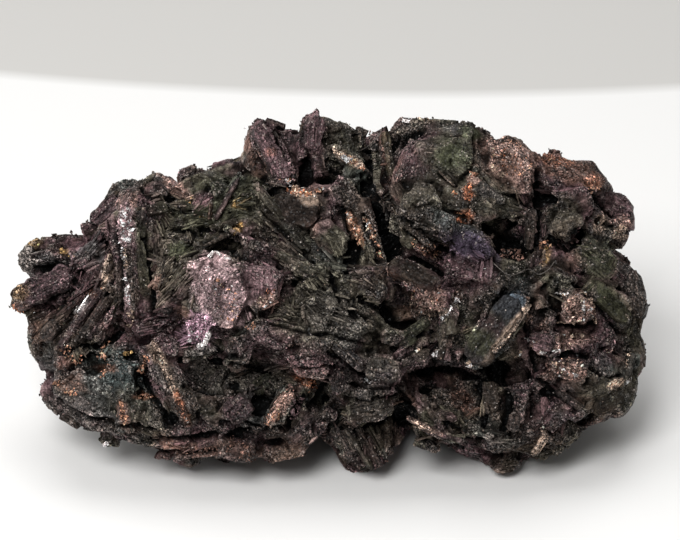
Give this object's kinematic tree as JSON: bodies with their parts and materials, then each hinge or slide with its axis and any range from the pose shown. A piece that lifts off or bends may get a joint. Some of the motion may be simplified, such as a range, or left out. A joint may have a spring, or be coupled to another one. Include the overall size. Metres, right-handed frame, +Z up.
{
  "type": "turgite specimen",
  "caption": "Free-standing natural mass of iridescent, dark iron-oxide crystal blades and lumps, with clefts, caves and flat-footed lobes it rests on.",
  "frame": {"origin": "centre of the bounding box, at the height of the feet", "axes": "+X along the specimen to the right as seen from the show face, +Y to the back, +Z up"},
  "size_m": [0.09, 0.0542, 0.0466],
  "materials": {
    "turgite": "rough, granular, with a dull submetallic sheen"
  },
  "bodies": {
    "root": {"turgite_specimen": "turgite"}
  },
  "joints": []
}
